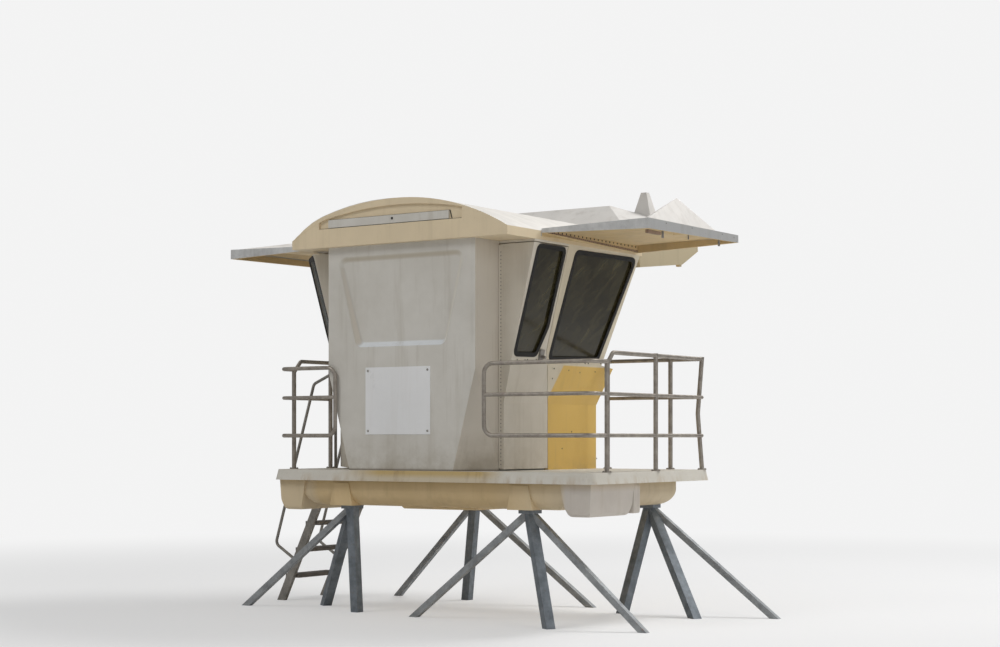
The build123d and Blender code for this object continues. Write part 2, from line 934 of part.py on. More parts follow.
def placed(nodes):
    """Moves the tower so that its box stands centred on the ground origin."""
    whole = Compound(children=[shape for shape in nodes.values()]).bounding_box()
    shift = Pos(-(whole.min.X + whole.max.X) / 2, -(whole.min.Y + whole.max.Y) / 2, 0)
    return {name: shift * shape for name, shape in nodes.items()}, shift


tower, tower_shift = placed(build_nodes())
os.makedirs("parts", exist_ok=True)
for node_name, node_shape in tower.items():
    solids = node_shape.solids()
    result = solids[0] if len(solids) == 1 else Compound(children=list(solids))
    export_step(result, "parts/" + node_name + ".step")
corner = tower_shift.position
print("moved by", round(corner.X, 3), round(corner.Y, 3))
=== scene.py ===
import bpy
import bmesh
import math
from mathutils import Matrix, Vector


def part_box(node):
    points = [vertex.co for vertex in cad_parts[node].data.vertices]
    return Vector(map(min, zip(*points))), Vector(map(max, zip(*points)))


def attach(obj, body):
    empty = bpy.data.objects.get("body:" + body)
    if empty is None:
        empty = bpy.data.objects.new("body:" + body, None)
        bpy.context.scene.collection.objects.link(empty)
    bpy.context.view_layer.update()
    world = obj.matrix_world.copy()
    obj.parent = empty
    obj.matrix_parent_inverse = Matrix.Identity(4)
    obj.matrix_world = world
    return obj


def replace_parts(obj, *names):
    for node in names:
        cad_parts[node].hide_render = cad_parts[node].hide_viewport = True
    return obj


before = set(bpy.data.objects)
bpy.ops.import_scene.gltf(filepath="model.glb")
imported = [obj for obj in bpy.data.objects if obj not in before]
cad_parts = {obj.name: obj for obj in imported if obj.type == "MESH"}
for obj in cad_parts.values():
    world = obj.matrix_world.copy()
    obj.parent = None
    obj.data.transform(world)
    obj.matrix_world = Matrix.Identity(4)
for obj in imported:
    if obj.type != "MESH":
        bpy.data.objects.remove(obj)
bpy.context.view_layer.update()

BODY = "tower"
SIDES = ((1, "right"), (-1, "left"))

# Lines of the tower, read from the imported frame, in metres
BAY_BACK = 0.06
deck_low, deck_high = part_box("deck")
bay_low, bay_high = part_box("rear_bay")
DECK = deck_high[2]
DECK_X = (deck_low[0] + deck_high[0]) / 2
CABIN_X = (bay_low[0] + bay_high[0]) / 2
BACK_Y = bay_low[1] - BAY_BACK

# The cabin's folds, from its centre line, its back line and the deck
SILL_HEIGHT, HEAD_HEIGHT = 1.010, 2.100
SILL_HALF, HEAD_HALF = 0.985, 1.240
SILL_FRONT, HEAD_FRONT = 2.020, 2.335
SIDE_LEAN = (HEAD_HALF - SILL_HALF) / (HEAD_HEIGHT - SILL_HEIGHT)
FRONT_LEAN = (HEAD_FRONT - SILL_FRONT) / (HEAD_HEIGHT - SILL_HEIGHT)
LOWER_WALL_TOP = 0.99

# The roof's arch
ROOF_BACK, ROOF_FRONT = -0.010, 2.370
ROOF_HALF = 1.243
EAVE_HEIGHT, CROWN_HEIGHT = 2.180, 2.510

# Raised shutters: height of each panel, and the right one's hinge line, reach and tilt
RIGHT_LEVEL, LEFT_LEVEL, FRONT_LEVEL = 2.200, 2.172, 2.500
SHUTTER_START = ROOF_HALF + 0.004
SHUTTER_BACK, SHUTTER_FRONT = 0.540, 2.260
SHUTTER_REACH = 1.110
SHUTTER_RISE = math.tan(math.radians(1.3))


def cab(x, y, z):
    """A point given from the cabin's centre line, back line and deck."""
    return Vector((x + CABIN_X, y + BACK_Y, z + DECK))


def tower_point(x, y, z):
    """A point given from the deck's centre line, back line and the ground."""
    return Vector((x + DECK_X, y + BACK_Y, z))


def smooth_step(t):
    return t * t * (3 - 2 * t)


# Building blocks of the materials
def bare_tree(owner):
    """The emptied node tree of a material or a world."""
    owner.use_nodes = True
    tree = owner.node_tree
    for old in list(tree.nodes):
        tree.nodes.remove(old)
    return tree


def plug(tree, socket, value):
    """Gives a socket a link, a colour or a number."""
    if isinstance(value, bpy.types.NodeSocket):
        tree.links.new(value, socket)
    elif socket.type == "RGBA":
        socket.default_value = (*value, 1)
    else:
        socket.default_value = value


def node(tree, kind, inputs=None, **settings):
    """A new shader node with its settings, and with its inputs by name or number."""
    made = tree.nodes.new("ShaderNode" + kind)
    for name, value in settings.items():
        setattr(made, name, value)
    for name, value in (inputs or {}).items():
        plug(tree, made.inputs[name], value)
    return made


def new_material(name):
    mat = bpy.data.materials.new(name)
    tree = bare_tree(mat)
    shader = node(tree, "BsdfPrincipled")
    node(tree, "OutputMaterial", {"Surface": shader.outputs[0]})
    return mat, tree, shader


def arithmetic(tree, kind, first, second):
    return node(tree, "Math", {0: first, 1: second}, operation=kind).outputs[0]


def times(tree, first, *others):
    """The product of two or more shares."""
    for other in others:
        first = arithmetic(tree, "MULTIPLY", first, other)
    return first


def mix(tree, share, first, second):
    """A second tone laid over the first by a share."""
    return node(tree, "Mix", {0: share, 6: first, 7: second}, data_type="RGBA").outputs[2]


def ramp(tree, value, low, high):
    """Goes between two stops, each a place and a tone or number."""
    made = node(tree, "ValToRGB", {"Fac": value})
    for element, (place, tone) in zip(made.color_ramp.elements, (low, high)):
        if isinstance(tone, (int, float)):
            tone = (tone, tone, tone)
        element.position = place
        element.color = (*tone, 1)
    return made.outputs["Color"]


def noise(tree, scale, detail, rough, stretch=(1, 1, 1)):
    """Noise in the object's space, drawn out along an axis where stretch is low."""
    place = node(tree, "TexCoord").outputs["Object"]
    place = node(tree, "Mapping", {"Vector": place, "Scale": stretch}).outputs["Vector"]
    inputs = {"Vector": place, "Scale": scale, "Detail": detail, "Roughness": rough}
    return node(tree, "TexNoise", inputs).outputs["Fac"]


def patches(tree, grain, low, high):
    """Noise cut to patches: 0 below one level and 1 above another."""
    return ramp(tree, noise(tree, *grain), (low, 0.0), (high, 1.0))


def coordinate(tree, axis, source="Object"):
    place = node(tree, "TexCoord").outputs[source]
    return node(tree, "SeparateXYZ", {0: place}).outputs[axis]


def span(tree, value, low, high):
    """Runs from 0 to 1 as a value goes from low to high."""
    return node(tree, "MapRange", {"Value": value, "From Min": low, "From Max": high}).outputs["Result"]


def along(tree, axis, low, high):
    """Runs from 0 to 1 between two places along an axis."""
    return span(tree, coordinate(tree, axis), low, high)


def height(tree, low, high):
    """Runs from 0 to 1 between two heights above the ground."""
    return along(tree, "Z", low, high)


def facing(tree, axis, low, high):
    """Runs from 0 to 1 as the surface turns along an axis."""
    return span(tree, coordinate(tree, axis, "Normal"), low, high)


def inward(tree, centre):
    """1 on faces that look towards the middle of a panel, 0 on those that look away."""
    place = node(tree, "TexCoord")
    gap = node(tree, "VectorMath", {0: place.outputs["Object"], 1: centre}, operation="SUBTRACT")
    dot = node(tree, "VectorMath", {0: gap.outputs[0], 1: place.outputs["Normal"]}, operation="DOT_PRODUCT")
    return span(tree, dot.outputs["Value"], 0.02, -0.02)


def bump(tree, shader, value, strength, distance):
    made = node(tree, "Bump", {"Strength": strength, "Distance": distance, "Height": value})
    plug(tree, shader.inputs["Normal"], made.outputs[0])


def dimmed(tone, share):
    return tuple(c * share for c in tone)


def mottle(tree, base, dark, scale=1.6):
    """A tone with broad darker clouds."""
    clouds = ramp(tree, noise(tree, scale, 8, 0.62), (0.35, dark), (0.62, base))
    return mix(tree, 0.55, base, clouds)


# Grain of the noise in patches: scale, detail, roughness and stretch
RAIN_GRAIN = (9, 6, 0.65, (1, 1, 0.07))
SPECK_GRAIN = (55, 4, 0.7)
SPLASH_GRAIN = (4, 7, 0.7)


def weather(tree, shader, tone, dark, streak, speck, rough, low_grime_and_shade=None):
    """Rain streaks, specks, a low darkening near the deck, uneven gloss and a faint ripple over a tone; the
    low darkening is dirt from the deck, and on the door also painted shade.
    """
    grime_and_shade = (dark[0] * 0.62, dark[1] * 0.55, dark[2] * 0.44)
    tone = mix(tree, times(tree, patches(tree, RAIN_GRAIN, 0.52, 0.78), streak), tone, grime_and_shade)
    tone = mix(tree, times(tree, patches(tree, SPECK_GRAIN, 0.66, 0.74), speck), tone, grime_and_shade)
    # Low darkening near the deck: dirt, and on the door also painted shade.
    if low_grime_and_shade is not None:
        reach, strength = low_grime_and_shade
        dirt = times(tree, height(tree, DECK + reach, DECK), patches(tree, SPLASH_GRAIN, 0.38, 0.62))
        tone = mix(tree, times(tree, dirt, strength), tone, grime_and_shade)
    plug(tree, shader.inputs["Base Color"], tone)
    gloss = ramp(tree, noise(tree, 6, 5, 0.6), (0.3, rough - 0.08), (0.7, rough + 0.14))
    plug(tree, shader.inputs["Roughness"], gloss)
    shader.inputs["Specular IOR Level"].default_value = 0.4
    bump(tree, shader, noise(tree, 14, 5, 0.6), 0.12, 0.004)


# Moulded skins
def gelcoat(name, base, dark, streak=0.3, speck=0.25, rough=0.5, low_grime_and_shade=None, field=None):
    """Weathered moulded skin; the low darkening near the deck is given by its reach above the deck and its
    strength, and is dirt, on the door also painted shade.
    """
    mat, tree, shader = new_material(name)
    tone = mottle(tree, base, dark)
    if field is not None:
        tone = field(tree, tone)
    weather(tree, shader, tone, dark, streak, speck, rough, low_grime_and_shade)
    return mat


def yellow_field(tree, tone):
    """Yellow paint on the lower wall, ahead of a slanted edge by the door."""
    yellow = (0.76, 0.51, 0.145)
    edge_y, edge_slant, edge_sharpness = 1.082, 0.24, 40
    level = DECK + LOWER_WALL_TOP
    below = height(tree, level + 0.006, level - 0.006)
    slant = times(tree, height(tree, DECK + 0.56, level), edge_slant)
    past = arithmetic(tree, "SUBTRACT", coordinate(tree, "Y"), slant)
    past = arithmetic(tree, "SUBTRACT", past, BACK_Y + edge_y)
    past = ramp(tree, times(tree, past, edge_sharpness), (0.0, 0.0), (1.0, 1.0))
    return mix(tree, times(tree, below, past), tone, yellow)


# Painted warm bounce light from the sand, on the insides and undersides of the raised shutters.
SAND_BOUNCE_TAN = (0.66, 0.5, 0.27)


def shutter_paint(name, centre, level, dome, top, rim):
    """A raised shutter: pale top, weathered rims in the given rim tone with painted shade on faces turned
    to +X, and a tan inside and underneath that is painted warm bounce light from the sand; above dome all
    is top.
    """
    mat, tree, shader = new_material(name)
    upper = mottle(tree, top, dimmed(top, 0.8), 2.2)
    inner = mottle(tree, SAND_BOUNCE_TAN, dimmed(SAND_BOUNCE_TAN, 0.72), 2.6)
    tone = ramp(tree, noise(tree, 5, 8, 0.75), (0.36, dimmed(rim, 0.74)), (0.6, rim))
    # Painted shade on faces turned to +X.
    tone = mix(tree, facing(tree, "X", 0.5, 0.8), tone, dimmed(rim, 0.7))
    tone = mix(tree, facing(tree, "Z", 0.25, 0.45), tone, upper)
    tone = mix(tree, height(tree, DECK + dome - 0.01, DECK + dome + 0.01), tone, upper)
    below = height(tree, DECK + level + 0.006, DECK + level - 0.004)
    # Painted sand-bounce tan on faces looking into the panel below its level, and on faces turned down.
    tone = mix(tree, times(tree, inward(tree, centre), below), tone, inner)
    tone = mix(tree, facing(tree, "Z", -0.35, -0.55), tone, inner)
    weather(tree, shader, tone, (0.36, 0.33, 0.29), 0.3, 0.4, 0.6)
    return mat


def roof_paint(name, top, gable):
    """The roof: pale chalky top with long run-off streaks, warmer gable and eaves."""
    mat, tree, shader = new_material(name)
    upper = mottle(tree, top, dimmed(top, 0.84), 1.8)
    runs = patches(tree, (6, 7, 0.7, (0.12, 1, 1)), 0.46, 0.74)
    upper = mix(tree, times(tree, runs, 0.4), upper, dimmed(top, 0.62))
    lower = mottle(tree, gable, dimmed(gable, 0.86))
    tone = mix(tree, facing(tree, "Z", 0.3, 0.6), lower, upper)
    weather(tree, shader, tone, (0.5, 0.42, 0.3), 0.18, 0.35, 0.55)
    return mat


def bay_paint(name):
    """The rear bay: grey gelcoat; round the pressed panel, painted light on the slopes: a bluish sky
    highlight on slopes facing up, shade on slopes facing down and on the left slope, light on the right
    slope; and painted warm shade on faces turned to +X.
    """
    # Tones of painted light: a bluish sky highlight, slope shade, a darker left slope, a lighter right
    # slope and a warm side shade.
    painted_sky_highlight, painted_slope_shade = (0.76, 0.8, 0.84), (0.44, 0.38, 0.28)
    left_slope_shade, right_slope_light = (0.42, 0.4, 0.36), (0.72, 0.67, 0.56)
    warm_side_shade, floor_dirt, foot_line = (0.6, 0.54, 0.45), (0.33, 0.28, 0.2), (0.12, 0.09, 0.06)
    mat, tree, shader = new_material(name)
    tone = mottle(tree, (0.66, 0.635, 0.58), (0.53, 0.5, 0.44))
    panel = times(
        tree, height(tree, DECK + 0.9, DECK + 0.92), height(tree, DECK + 2.08, DECK + 2.06),
        along(tree, "X", CABIN_X + 0.76, CABIN_X + 0.74), along(tree, "Y", BACK_Y + 0.15, BACK_Y + 0.145),
    )
    # Painted highlight and shade on the pressed panel's slopes, by the way each slope faces.
    for axis, low, high, share, paint in (
        ("Z", 0.1, 0.6, 0.8, painted_sky_highlight), ("Z", -0.08, -0.3, 0.7, painted_slope_shade),
        ("X", 0.1, 0.5, 0.7, left_slope_shade), ("X", -0.1, -0.5, 0.4, right_slope_light),
    ):
        tone = mix(tree, times(tree, facing(tree, axis, low, high), panel, share), tone, paint)
    # Painted warm shade on faces turned to +X.
    tone = mix(tree, times(tree, facing(tree, "X", 0.3, 0.6), 0.7), tone, warm_side_shade)
    low = times(tree, height(tree, DECK + 0.39, DECK), patches(tree, SPLASH_GRAIN, 0.38, 0.62), 0.5)
    tone = mix(tree, low, tone, floor_dirt)
    foot = times(tree, height(tree, DECK + 0.022, DECK + 0.006), 0.7)
    tone = mix(tree, foot, tone, foot_line)
    weather(tree, shader, tone, (0.52, 0.49, 0.43), 0.36, 0.25, 0.5)
    return mat


def hull_paint(name):
    """The pan under the deck: tan, partly the moulding's own colour and partly painted warm bounce light
    from the sand; greyer right box, paler left end, stained top.
    """
    grey_base, grey_dark = (0.62, 0.57, 0.51), (0.52, 0.47, 0.41)
    mat, tree, shader = new_material(name)
    # The tan is partly the moulding's own colour and partly painted warm bounce light from the sand.
    tan = mottle(tree, (0.68, 0.51, 0.28), (0.56, 0.41, 0.21), 2.4)
    pale = mottle(tree, (0.64, 0.54, 0.38), (0.53, 0.43, 0.29), 2.4)
    tone = mix(tree, along(tree, "X", CABIN_X + 1.0, CABIN_X + 1.9), tan, pale)
    box = times(
        tree, along(tree, "X", DECK_X + 1.43, DECK_X + 1.5), along(tree, "Y", BACK_Y + 0.91, BACK_Y + 0.89)
    )
    tone = mix(tree, box, tone, mottle(tree, grey_base, grey_dark, 2.4))
    left = times(tree, along(tree, "X", DECK_X - 1.3, DECK_X - 1.4), 0.6)
    tone = mix(tree, left, tone, (0.68, 0.58, 0.42))
    top = times(tree, height(tree, DECK - 0.17, DECK - 0.10), 0.45)
    tone = mix(tree, top, tone, (0.42, 0.29, 0.12))
    weather(tree, shader, tone, (0.5, 0.4, 0.24), 0.3, 0.3, 0.55)
    return mat


def deck_paint(name):
    """Moulded deck with a fine non-slip grain, ochre run-off stains down the rim, and a darker ochre patch
    on the rim's back face under the bay.
    """
    base, dark = (0.68, 0.65, 0.58), (0.54, 0.5, 0.42)
    mat, tree, shader = new_material(name)
    clouds = ramp(tree, noise(tree, 2.1, 8, 0.65), (0.3, dark), (0.66, base))
    tone = mix(tree, 0.6, base, clouds)
    stain = patches(tree, (7, 6, 0.68, (1, 1, 0.12)), 0.5, 0.72)
    rim_side = height(tree, DECK - 0.015, DECK - 0.1)
    tone = mix(tree, times(tree, stain, rim_side, 0.7), tone, (0.42, 0.28, 0.12))
    # Darker ochre on the rim's back face under the bay, strongest at the rim's top.
    fade = arithmetic(tree, "ADD", times(tree, height(tree, DECK - 0.07, DECK - 0.025), 0.55), 0.45)
    under_bay = times(
        tree, facing(tree, "Y", -0.5, -0.7), along(tree, "X", CABIN_X - 0.68, CABIN_X - 0.2),
        along(tree, "X", CABIN_X + 1.22, CABIN_X + 0.95), fade,
    )
    ochre = mix(tree, stain, (0.5, 0.34, 0.1), (0.3, 0.18, 0.04))
    tone = mix(tree, times(tree, under_bay, 0.85), tone, ochre)
    spots = patches(tree, (34, 5, 0.7), 0.6, 0.74)
    tone = mix(tree, times(tree, spots, 0.35), tone, (0.3, 0.26, 0.2))
    plug(tree, shader.inputs["Base Color"], tone)
    shader.inputs["Roughness"].default_value = 0.62
    bump(tree, shader, noise(tree, 160, 2, 0.5), 0.3, 0.0015)
    return mat


# Metal, glass and rubber
def metal(name, base, dark, rust=0.3, rough=0.5, metallic=0.5, scale=9):
    """Dull metal with darker clouds and rust spots."""
    mat, tree, shader = new_material(name)
    tone = ramp(tree, noise(tree, scale, 8, 0.7), (0.32, dark), (0.66, base))
    spots = patches(tree, (scale * 2.6, 6, 0.75), 0.58, 0.7)
    tone = mix(tree, times(tree, spots, rust), tone, (0.22, 0.11, 0.055))
    plug(tree, shader.inputs["Base Color"], tone)
    shader.inputs["Metallic"].default_value = metallic
    gloss = ramp(tree, noise(tree, scale * 1.7, 5, 0.6), (0.3, rough - 0.1), (0.7, rough + 0.18))
    plug(tree, shader.inputs["Roughness"], gloss)
    bump(tree, shader, noise(tree, scale * 6, 6, 0.7), 0.25, 0.0015)
    return mat


def dark_glass(name, base, streaked):
    """Tinted glass under a dusty film with slanted wipe marks."""
    mat, tree, shader = new_material(name)
    film = noise(tree, 2.6, 8, 0.7)
    slant = node(tree, "Mapping", {
        "Vector": node(tree, "TexCoord").outputs["Object"],
        "Rotation": (math.radians(38), 0, 0), "Scale": (1, 1.1, 0.16),
    }, vector_type="TEXTURE")
    wipes = node(tree, "TexNoise", {"Vector": slant.outputs["Vector"], "Scale": 3.2, "Detail": 5})
    marks = ramp(tree, wipes.outputs["Fac"], (0.48, 0.0), (0.7, 1.0))
    dust = ramp(tree, film, (0.35, 0.0), (0.7, 1.0))
    amount = times(tree, arithmetic(tree, "ADD", marks, dust), 0.42)
    plug(tree, shader.inputs["Base Color"], mix(tree, amount, base, streaked))
    shader.inputs["Specular IOR Level"].default_value = 0.45
    shader.inputs["Transmission Weight"].default_value = 0.2
    plug(tree, shader.inputs["Roughness"], ramp(tree, film, (0.35, 0.06), (0.75, 0.24)))
    return mat


def rubber(name, tone, rough):
    mat, tree, shader = new_material(name)
    light = tuple(c * 2 + 0.01 for c in tone)
    shade = ramp(tree, noise(tree, 30, 5, 0.6), (0.3, tone), (0.8, light))
    plug(tree, shader.inputs["Base Color"], shade)
    shader.inputs["Roughness"].default_value = rough
    bump(tree, shader, noise(tree, 120, 3, 0.6), 0.2, 0.001)
    return mat


# The tower's materials
SHUTTER_WHITE = (0.76, 0.73, 0.69)
RIM_GREY = (0.6, 0.6, 0.59)

CREAM = gelcoat("gelcoat_cream", (0.74, 0.66, 0.5), (0.6, 0.51, 0.36))
# The door's low darkening is partly dirt and partly painted shade on the lower door.
DOOR = gelcoat("gelcoat_door", (0.7, 0.65, 0.56), (0.58, 0.53, 0.44), speck=0.3, low_grime_and_shade=(0.39, 0.45))
SIDE = gelcoat(
    "gelcoat_side", (0.74, 0.67, 0.53), (0.6, 0.53, 0.4), speck=0.3, low_grime_and_shade=(0.14, 0.4),
    field=yellow_field,
)
FLAP = gelcoat("gelcoat_bay", (0.66, 0.635, 0.58), (0.52, 0.49, 0.43), streak=0.4, low_grime_and_shade=(0.39, 0.5))
FLOOR = gelcoat("inner_floor", (0.5, 0.49, 0.45), (0.38, 0.37, 0.33), streak=0.1, speck=0.5, rough=0.7)
WORN = gelcoat("worn_band", (0.34, 0.24, 0.17), (0.2, 0.13, 0.09), streak=0.5, speck=0.8, rough=0.75)
SIGN = gelcoat(
    "sign_white", (0.84, 0.84, 0.84), (0.76, 0.76, 0.75), streak=0.12, speck=0.15, rough=0.35
)
BAY = bay_paint("gelcoat_pressed")
ROOF = roof_paint("gelcoat_roof", top=(0.78, 0.75, 0.7), gable=(0.76, 0.63, 0.43))
HULL = hull_paint("gelcoat_hull")
DECK_SKIN = deck_paint("deck_skin")
SHUTTER_R = shutter_paint(
    "shutter_right", cab(1.80, 1.40, 2.20), RIGHT_LEVEL, 2.245, SHUTTER_WHITE, RIM_GREY
)
SHUTTER_L = shutter_paint(
    "shutter_left", cab(-1.80, 1.30, 2.17), LEFT_LEVEL, 2.215, SHUTTER_WHITE, RIM_GREY
)
# The front shutter's tan rim tone is painted warm bounce light from the sand.
SHUTTER_F = shutter_paint(
    "shutter_front", cab(0, 3.0, 2.40), FRONT_LEVEL, 2.53, (0.6, 0.58, 0.55), (0.69, 0.58, 0.38)
)
LEG = metal("leg_steel", (0.25, 0.28, 0.31), (0.13, 0.15, 0.17), metallic=0.35)
BRACE = metal("leg_steel_pale", (0.4, 0.42, 0.43), (0.22, 0.23, 0.24), rust=0.35, metallic=0.35)
RAIL = metal("rail_metal", (0.42, 0.38, 0.33), (0.26, 0.23, 0.2), rough=0.42, metallic=0.6, scale=14)
LADDER = metal("ladder_metal", (0.36, 0.34, 0.31), (0.2, 0.19, 0.17), rust=0.4, rough=0.6, metallic=0.4)
TREAD = metal("tread_worn", (0.22, 0.2, 0.18), (0.12, 0.11, 0.1), rough=0.75, metallic=0.1)
BOLT = metal(
    "bolt_steel", (0.4, 0.38, 0.35), (0.24, 0.22, 0.2), rust=0.45, rough=0.4, metallic=0.7, scale=40
)
GLASS = dark_glass("window_glass", (0.02, 0.016, 0.006), (0.115, 0.1, 0.045))
# The left door's paler glass is a painted reflection of the sky.
PAINTED_SKY_GLASS = dark_glass("door_glass_painted_sky", (0.2, 0.22, 0.21), (0.42, 0.44, 0.43))
GASKET = rubber("gasket_black", (0.006, 0.006, 0.006), 0.7)
DARK_GAP = rubber("dark_recess", (0.02, 0.018, 0.015), 0.8)

NODE_PAINT = {
    "deck": DECK_SKIN, "hull": HULL, "floor": FLOOR, "rear_bay": BAY, "sign_plate": SIGN,
    "right_wall": SIDE, "left_wall": SIDE, "front_wall": CREAM, "roof": ROOF, "vent_flap": FLAP,
    "right_door": DOOR, "left_door": DOOR, "right_door_header": DOOR, "left_door_header": DOOR,
    "right_shutter": SHUTTER_R, "left_shutter": SHUTTER_L, "front_shutter": SHUTTER_F,
    "right_door_lock": BOLT, "ladder_treads": TREAD, "left_door_glass": PAINTED_SKY_GLASS,
}
FAMILY_PAINT = (("glass", GLASS), ("ladder", LADDER), ("brace", BRACE), ("leg", LEG), ("rail", RAIL))


def node_paint(name):
    """The paint of a node by its own name, or else by the first family word in it."""
    if name in NODE_PAINT:
        return NODE_PAINT[name]
    return next(paint for word, paint in FAMILY_PAINT if word in name)


for name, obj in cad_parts.items():
    obj.data.materials.clear()
    obj.data.materials.append(node_paint(name))


# Mesh helpers
def add_mesh(name, build, material, body=BODY, smooth=False):
    mesh = bpy.data.meshes.new(name)
    bm = bmesh.new()
    build(bm)
    bmesh.ops.recalc_face_normals(bm, faces=bm.faces)
    bm.to_mesh(mesh)
    bm.free()
    obj = bpy.data.objects.new(name, mesh)
    bpy.context.scene.collection.objects.link(obj)
    mesh.materials.append(material)
    if smooth:
        for poly in mesh.polygons:
            poly.use_smooth = True
    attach(obj, body)
    return obj


def patch(name, corners, outward, material):
    """One flat face through some points, turned to look outward."""
    def build(bm):
        bm.faces.new([bm.verts.new(corner) for corner in corners])
    obj = add_mesh(name, build, material)
    if obj.data.polygons[0].normal.dot(Vector(outward)) < 0:
        obj.data.flip_normals()


def bridge(bm, low, high):
    """Faces between two closed loops of as many points."""
    count = len(low)
    for i in range(count):
        j = (i + 1) % count
        bm.faces.new((low[i], low[j], high[j], high[i]))


CORNER_STEPS = 8


def rounded(points, radius):
    """The corners of an outline replaced by short curves."""
    result = []
    count = len(points)
    for i in range(count):
        here = Vector(points[i])
        back = Vector(points[i - 1]) - here
        ahead = Vector(points[(i + 1) % count]) - here
        half = back.angle(ahead) / 2
        cut = min(radius / math.tan(half), 0.45 * back.length, 0.45 * ahead.length)
        start, end = here + back.normalized() * cut, here + ahead.normalized() * cut
        for k in range(CORNER_STEPS + 1):
            t = k / CORNER_STEPS
            result.append((1 - t) ** 2 * start + 2 * t * (1 - t) * here + t ** 2 * end)
    return result


def grown(points, amount):
    """An outline moved outwards by an amount."""
    count = len(points)
    area = sum(points[i - 1][0] * points[i][1] - points[i][0] * points[i - 1][1] for i in range(count))
    sign = 1 if area > 0 else -1
    result = []
    for i in range(count):
        here = Vector(points[i])
        a = (here - Vector(points[i - 1])).normalized()
        b = (Vector(points[(i + 1) % count]) - here).normalized()
        first = Vector((a.y, -a.x)) * sign
        second = Vector((b.y, -b.x)) * sign
        normal = (first + second).normalized()
        result.append(here + normal * (amount / max(normal.dot(first), 0.3)))
    return result


def studs(name, places, radius, tall, material, body=BODY, sides=10):
    """Low domed heads at (point, normal) places, as one mesh."""
    profile = ((1.0, -0.25), (1.0, 0.45), (0.75, 0.85), (0.35, 1.0))

    def build(bm):
        for point, normal in places:
            turn = Vector(normal).normalized().to_track_quat("Z", "Y").to_matrix().to_4x4()
            turn.translation = Vector(point)
            rows = []
            for wide, high in profile:
                angles = [2 * math.pi * k / sides for k in range(sides)]
                rows.append([
                    bm.verts.new(turn @ Vector((
                        radius * wide * math.cos(angle), radius * wide * math.sin(angle), tall * high
                    ))) for angle in angles
                ])
            for low, high in zip(rows, rows[1:]):
                bridge(bm, low, high)
            bm.faces.new(rows[-1])
            bm.faces.new(list(reversed(rows[0])))
    return add_mesh(name, build, material, body, True)


def boxes(name, parts, material):
    """Small blocks with bevelled edges, given by their low and high corners on the cabin."""
    def build(bm):
        for low, high in parts:
            made = bmesh.ops.create_cube(bm, size=1.0)["verts"]
            low, high = cab(*low), cab(*high)
            for vert in made:
                vert.co = Vector((low[i] if vert.co[i] < 0 else high[i]) for i in range(3))
        thinnest = min(abs(b - a) for low, high in parts for a, b in zip(low, high))
        bmesh.ops.bevel(
            bm, geom=list(bm.edges), offset=thinnest / 4, segments=2, affect="EDGES", profile=0.7
        )
    return add_mesh(name, build, material)


# Doors: at rest the right one is closed and the left one stands open on its pin
PIN_X, PIN_Y = 0.8573, 0.432
LEFT_DOOR_OPEN = math.radians(45)


def door_turn(side):
    return Matrix.Rotation(LEFT_DOOR_OPEN if side < 0 else 0.0, 3, "Z")


def on_door(side, point):
    """A point of the closed door, where it is at rest."""
    pivot = cab(side * PIN_X, PIN_Y, 0)
    return pivot + door_turn(side) @ (point - pivot)


# Window gaskets: black bands with a rounded outline, laid on the leaning walls
SIDE_WINDOW = [(1.056, 1.038), (1.925, 1.064), (2.264, 2.054), (1.173, 2.043)]
DOOR_WINDOW = [(0.465, 1.060), (0.822, 1.068), (0.933, 1.334), (0.975, 2.050), (0.521, 2.049)]
GASKET_PROUD = 0.007
GASKET_SUNK = 0.001
GASKET_OUT, GASKET_IN = 0.018, -0.023


def side_x(z):
    """How far out the leaning side wall is at a height."""
    return SILL_HALF + (z - SILL_HEIGHT) * SIDE_LEAN


def side_point(side, y, z, out=0.0):
    return cab(side * (side_x(z) + out), y, z)


def gasket(name, outline, outer_round, inner_round, place, body=BODY):
    """A raised band round a window: place(u, v, out) gives its points."""
    outer = rounded(grown(outline, GASKET_OUT), outer_round)
    inner = rounded(grown(outline, GASKET_IN), inner_round)
    low, high = -GASKET_SUNK, GASKET_PROUD - GASKET_SUNK

    def build(bm):
        loops = [
            [bm.verts.new(place(p[0], p[1], out)) for p in line]
            for line, out in ((outer, low), (outer, high), (inner, high), (inner, low))
        ]
        for k in range(4):
            bridge(bm, loops[k], loops[(k + 1) % 4])
    return add_mesh(name, build, GASKET, body)


for side, label in SIDES:
    def on_wall(y, z, out, side=side):
        return side_point(side, y, z, out)

    def on_leaf(y, z, out, side=side):
        return on_door(side, side_point(side, y, z, out))

    gasket(label + "_window_gasket", SIDE_WINDOW, 0.076, 0.040, on_wall)
    gasket(label + "_door_window_gasket", DOOR_WINDOW, 0.076, 0.040, on_leaf, label + "_door")


def on_front(x, z, out):
    return cab(x, SILL_FRONT + (z - SILL_HEIGHT) * FRONT_LEAN + out, z)


for side, label in SIDES:
    outline = [(side * 0.04, 1.06), (side * 0.86, 1.06), (side * 1.08, 2.04), (side * 0.04, 2.04)]
    gasket("front_" + label + "_gasket", outline, 0.078, 0.042, on_front)

# Pressed panel of the rear bay: its soft rolled edge, and the bolts of the sign below it
PRESS_LOW, PRESS_HIGH = 1.150, 2.003
PRESS_BOTTOM_HALF, PRESS_TOP_HALF = 0.515, 0.740
PRESS_DEEP, PRESS_SHALLOW = 0.052, 0.012
PRESS_STEPS = 8
SKIN_LIFT = 0.0006


